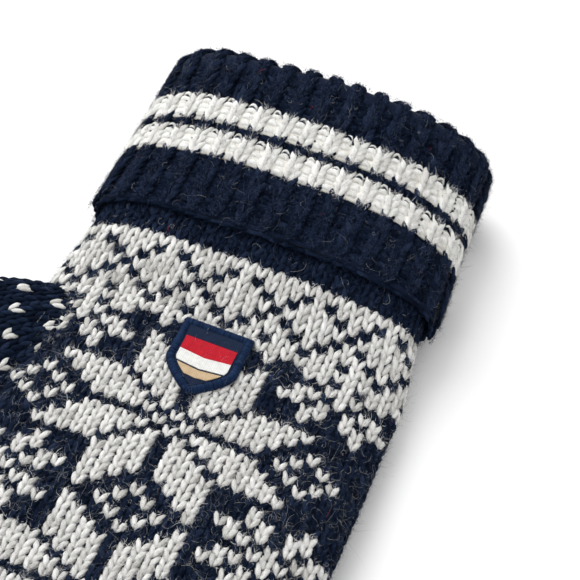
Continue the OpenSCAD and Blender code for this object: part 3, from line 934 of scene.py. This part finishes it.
BADGE_W, BADGE_H = BADGE_HIGH[0] - BADGE_LOW[0], BADGE_HIGH[1] - BADGE_LOW[1]
BADGE_Y = (BADGE_HIGH[1] + BADGE_LOW[1]) / 2
BORDER_W = 2.0


def shield(inset, count=200):
    """Evenly spaced points round the shield's outline, the way inwards at each, and its length."""
    w, top, bottom = BADGE_W / 2 - inset, BADGE_H / 2 - inset, -BADGE_H / 2 + inset * 1.25
    shoulder = BADGE_H / 2 - BADGE_H * 0.56     # where the sides start to curve in
    t = np.linspace(0, 1, 40)
    curve = np.stack([w * (1 - t ** 1.5), mix(shoulder, bottom, t)], 1)
    right = np.concatenate([[[0, top], [w, top]], curve])
    loop = np.concatenate([right, right[-2:0:-1] * [-1, 1], [[0, top]]])
    s = run(loop)
    at = np.linspace(0, s[-1], count, endpoint=False)
    p = np.stack([np.interp(at, s, loop[:, 0]), np.interp(at, s, loop[:, 1])], 1)
    d = unit(np.roll(p, -1, 0) - np.roll(p, 1, 0))
    return p, np.stack([d[:, 1], -d[:, 0]], 1), s[-1]


def on_badge(xy, z):
    return np.stack([xy[..., 0], xy[..., 1] + BADGE_Y, np.broadcast_to(z, xy.shape[:-1])], -1)


badge_z = BADGE_LOW[2]
THREAD_PITCH = 0.36
count = int(shield(BORDER_W / 2)[2] / THREAD_PITCH)
outline, inward, _ = shield(BORDER_W / 2, count)
across = np.array([-1.12, -1.02, -0.55, 0.0, 0.55, 1.0, 1.1]) * BORDER_W / 2
rise = np.array([-0.9, -0.35, 0.42, 0.66, 0.42, -0.2, -0.5])
jig = rng.normal(0, 0.035, (count, 1))
satin = on_badge(outline[:, None] + inward[:, None] * (across[None] + jig)[..., None],
                 badge_z + 1.0 + rise + jig)
UP = [0.0, 0.0, 1.0]
BORDER = yarn_material("border_thread", (0.003, 0.009, 0.028), (0.0075, 0.020, 0.058),
                       (0.016, 0.038, 0.095), bump=0.2, rough=0.6)
border = yarn_object("badge_satin_border",
                     [strands(satin, np.broadcast_to(UP, satin.shape), 0.24, 0.22, sides=6)])
finish_piece(border, "hand", "badge_border", BORDER, replaces=["badge_border"])
# A padded core under the satin stitches, and sewing stitches round it
core_rings = []
for a in np.linspace(0, 2 * math.pi, 12, endpoint=False):
    off = 0.9 * BORDER_W / 2 * math.cos(a)
    core_rings.append(on_badge(outline + inward * off, badge_z + 0.55 + 0.72 * math.sin(a)))
core = tube_object("badge_border_core", core_rings, closed_loop=True)
finish_piece(core, "hand", "badge_border", BORDER)
edge, edge_in, _ = shield(0.15, 64)
tangent = np.stack([-edge_in[:, 1], edge_in[:, 0]], 1)
reach = np.array([-0.55, -0.3, 0.0, 0.3, 0.55])
sew = on_badge(edge[:, None] + edge_in[:, None] * reach[None, :, None] * 0.9
               + tangent[:, None] * reach[None, :, None] * 0.5,
               badge_z + 0.9 + np.array([-0.7, 0.0, 0.25, 0.45, 0.2]))
sewing = yarn_object("badge_sewing",
                     [strands(sew, np.broadcast_to(UP, sew.shape), 0.14, 0.14, sides=6)])
finish_piece(sewing, "hand", "badge_border", BORDER, replaces=["badge_stitching"])
for name, dark, light in (("badge_backing", (0.008, 0.014, 0.035), (0.02, 0.035, 0.08)),
                          ("badge_field", (0.004, 0.010, 0.028), (0.010, 0.023, 0.060)),
                          ("badge_red_band", (0.32, 0.006, 0.015), (0.62, 0.012, 0.03)),
                          ("badge_white_chevron", (0.6, 0.6, 0.58), (0.88, 0.88, 0.86)),
                          ("badge_tan_point", (0.42, 0.30, 0.17), (0.66, 0.50, 0.33))):
    dress(name, woven_material(name + "_weave", dark, light))

# ---- Fuzz ----

def turned(v, axis, angle):
    """v turned about unit axes by angles."""
    c, n = np.cos(angle)[:, None], np.sin(angle)[:, None]
    return v * c + np.cross(axis, v) * n + axis * (axis * v).sum(1, keepdims=True) * (1 - c)


def fibre_lines(skin, a, f, length, lift, curl, points, depth=0.35, grain=0.0):
    """Centre lines of fibres that leave the yarn at a, f and curl along the cloth."""
    n = len(a)
    p, nrm = skin.at(a, f)
    step = (length * rng.lognormal(0, 0.35, n) / (points - 1))[:, None]
    flat = rng.normal(0, 1, (n, 3)) * [1, 1 + grain, 1]
    flat = unit(flat - nrm * (flat * nrm).sum(1, keepdims=True))
    way = unit(flat + nrm * lift * rng.uniform(0, 1.4, (n, 1)))
    axis = unit(nrm + rng.normal(0, 0.45, (n, 3)))
    rate = curl * rng.normal(0, 1, n) / (points - 1)
    line = [p - nrm * depth * rng.uniform(0.1, 1.0, (n, 1))]
    for _ in range(points - 1):
        way = turned(way, axis, rate)
        rate = rate * 0.94 + curl * rng.normal(0, 0.22, n) / (points - 1)
        line.append(line[-1] + way * step)
    line = np.stack(line, 1)
    line[..., 2] = np.maximum(line[..., 2], 0.25)
    return line, nrm


def wisps(name, body, slot, material, groups, length=1.2, lift=0.35, curl=1.8, thick=0.036, depth=0.2,
          points=4, grain=0.0):
    """Flat hairs lying on the yarn. groups is (skin, rows, places). grain turns them along the columns."""
    verts, tone = [], []
    for skin, a, f in groups:
        line, nrm = fibre_lines(skin, a, f, length, lift, curl, points, depth, grain)
        side = unit(np.cross(np.gradient(line, axis=1), nrm[:, None] + rng.normal(0, 0.3, (len(a), 1, 3))))
        w = thick * np.interp(np.linspace(0, 1, points), [0, 0.3, 1], [0.8, 1.0, 0.25])[:, None]
        verts.append(np.stack([line - side * w, line + side * w], 2).reshape(-1, 2 * points, 3))
        tone.append(np.repeat(rng.uniform(0.05, 0.95, (len(a), 1)), 2 * points, 1))
    verts, tone = np.concatenate(verts), np.concatenate(tone)
    n = len(verts)
    quad = np.array([0, 1, 3, 2]) + 2 * np.arange(points - 1)[:, None]
    quads = (quad[None] + 2 * points * np.arange(n)[:, None, None]).reshape(-1, 4)
    cells = math.ceil(math.sqrt(n))
    corner = np.array([[[0, k], [1, k], [1, k + 1], [0, k + 1]]
                       for k in range(points - 1)], float) / [1, points - 1]
    index = np.arange(n)
    cell = np.stack([index % cells, index // cells], -1)[:, None, None]
    uv = (corner[None] * 0.8 + 0.1 + cell) / cells
    place = np.repeat(rng.uniform(0, 60, (n, 1, 3)), 2 * points, 1)
    ob = new_mesh(name, verts.reshape(-1, 3), quads, np.zeros((0, 3), int), uv.reshape(-1, 2),
                  place.reshape(-1, 3), tone.ravel())
    return finish_piece(ob, body, slot, material)


def near(a, f, skin, times):
    """Random places on the stitches at a, f: times of them for each stitch."""
    a, f = np.repeat(a, times), np.repeat(f, times)
    a = a + rng.uniform(-1, 1, len(a)) * 1.8
    return a, f + rng.uniform(-1, 1, len(f)) * 1.7 / skin.round_at(a)


def scattered(count, a_range, f_range=0.27):
    return rng.uniform(*a_range, count), rng.uniform(-f_range, f_range, count)


back = stitch_top & (stitch_a < Y_HEM + 1)
for light, name, material, times in ((False, "navy", FUZZ_NAVY, 22), (True, "light", FUZZ_LIGHT, 30)):
    pick = back & (stitch_light == light)
    a, f = near(stitch_a[pick], stitch_f[pick], hand_skin, times)
    wisps("wisps_hand_" + name, "hand", "pattern_knit", material, [(hand_skin, a, f)], grain=1.2)
pick = ~stitch_top & (stitch_a < Y_HEM)
a, f = near(stitch_a[pick], stitch_f[pick], hand_skin, 2)
wisps("wisps_palm", "hand", "pattern_knit", FUZZ_NAVY, [(hand_skin, a, f)], lift=0.1)

stripe_zones = [(rib_place(last) - 0.5 * RIB_ROW - 0.9, rib_place(first) + 0.5 * RIB_ROW + 0.3)
                for first, last in STRIPES]
for name, count, at_rib, depth in (("crest", 36000, 0.0, 0.35), ("valley", 6000, 0.5, 1.9)):
    a = rng.uniform(0, LIP_END - 3, count)
    f = (rng.integers(-11, 12, count) + at_rib + rng.normal(0, 0.13, count)) / RIBS
    in_light = np.any([(a > lo) & (a < hi) for lo, hi in stripe_zones], axis=0)
    wisps("wisps_navy_" + name, "turned_cuff", "navy_rib", FUZZ_NAVY,
          [(outer_skin, a[~in_light], f[~in_light])], length=1.0, lift=0.3, thick=0.05, depth=depth,
          grain=1.4)
    wisps("wisps_light_" + name, "turned_cuff", "off_white_rib", FUZZ_LIGHT,
          [(outer_skin, a[in_light], f[in_light])], lift=0.3, depth=depth, grain=0.6)


def strays(name, skin, ride, material, zone, length, lift, curl, thick, points):
    """Long single fibres that stand off the knitting. ride is the body and the slot."""
    line, _ = fibre_lines(skin, *scattered(*zone), length, lift, curl, points)
    w = thick * np.linspace(1, 0.4, points)
    around = unit(np.cross(unit(np.gradient(line, axis=1)), [0.31, 0.52, 0.79]))
    part = strands(line, around, w, w, sides=3, tone=rng.uniform(0.05, 0.95, len(line)))
    return finish_piece(yarn_object(name, [part]), *ride, material)


hand_zone, star_zone = (Y_TIP + 6, Y_HEM - 1), (Y_TIP + 6, FIRST_STAR + 18 * ROW)
below_hem = (Y_HEM - 13, Y_HEM - 2)
on_hand, on_cuff = ("hand", "pattern_knit"), ("turned_cuff", "navy_rib")
HALO = 2.2, 1.2, 2.0, 0.022, 7
RED = 3.0, 0.3, 4.0, 0.035, 12
strays("halo_hand", hand_skin, on_hand, FUZZ_NAVY, (1500, hand_zone, 0.3), *HALO)
strays("halo_cuff", outer_skin, on_cuff, FUZZ_NAVY, (1700, (0, LIP_END - 3), 0.33), *HALO)
wisps("curls_hand", *on_hand, FUZZ_GREY,
      [(hand_skin, *scattered(6600, star_zone)), (hand_skin, *scattered(45, below_hem))],
      length=4.8, lift=0.25, curl=8.0, thick=0.016, depth=0.0, points=14)
wisps("curls_cuff", *on_cuff, FUZZ_GREY, [(outer_skin, *scattered(450, (0, LIP_END - 5), 0.3))],
      length=4.0, lift=0.3, curl=7.0, thick=0.014, depth=0.1, points=14)
strays("light_strays_hand", hand_skin, on_hand, FUZZ_LIGHT, (240, hand_zone), 4.0, 0.5, 5.0, 0.026, 14)
strays("red_strays_hand", hand_skin, on_hand, FUZZ_RED, (26, hand_zone), *RED)
strays("red_strays_cuff", outer_skin, on_cuff, FUZZ_RED, (12, (2, LIP_END - 8)), *RED)
bend(strays("halo_thumb", thumb_skin, (None, "pattern_knit"), FUZZ_NAVY,
            (900, (-THUMB_L + 3, -28), 0.3), 2.2, 0.9, 2.0, 0.022, 7))

# ---- Floor, light and camera ----

floor_mesh = bpy.data.meshes.new("floor")
floor_mesh.from_pydata([(-3, -3, 0), (3, -3, 0), (3, 3, 0), (-3, 3, 0)], [], [(0, 1, 2, 3)])
floor = put("floor", floor_mesh)
floor_mat, _, floor_shader = nodes_of("white_paper")
floor_shader.inputs["Base Color"].default_value = (0.93, 0.93, 0.93, 1)
floor_mesh.materials.append(floor_mat)

world = bpy.data.worlds.new("studio")
world.use_nodes = True
world.node_tree.nodes["Background"].inputs["Color"].default_value = (1, 1, 1, 1)
world.node_tree.nodes["Background"].inputs["Strength"].default_value = 0.78
bpy.context.scene.world = world


def softbox(name, place, size, energy):
    """A round light that faces the mitten."""
    light = bpy.data.lights.new(name, "AREA")
    light.shape = "DISK"
    light.size = size
    light.energy = energy
    ob = put(name, light)
    z = unit(np.array(place) - [0, 0.03, 0.01])
    x = unit(np.cross([0, 0, 1.0], z))
    y = np.cross(z, x)
    ob.matrix_world = Matrix([[x[0], y[0], z[0], place[0]], [x[1], y[1], z[1], place[1]],
                              [x[2], y[2], z[2], place[2]], [0, 0, 0, 1]])


softbox("key", (-0.85, 0.7, 0.95), 1.5, 18.5)
softbox("fill", (-0.3, -1.0, 1.3), 1.2, 6.0)

camera_data = bpy.data.cameras.new("camera")
camera = put("camera", camera_data)
bpy.context.scene.camera = camera
camera.location = (0.11787, -0.27462, 0.47183)
camera.rotation_euler = [math.radians(v) for v in (37.198, -3.085, 21.91)]
camera_data.lens = 124.9
camera_data.sensor_width = 36
camera_data.clip_end = 20

bpy.context.scene.view_settings.view_transform = "Standard"
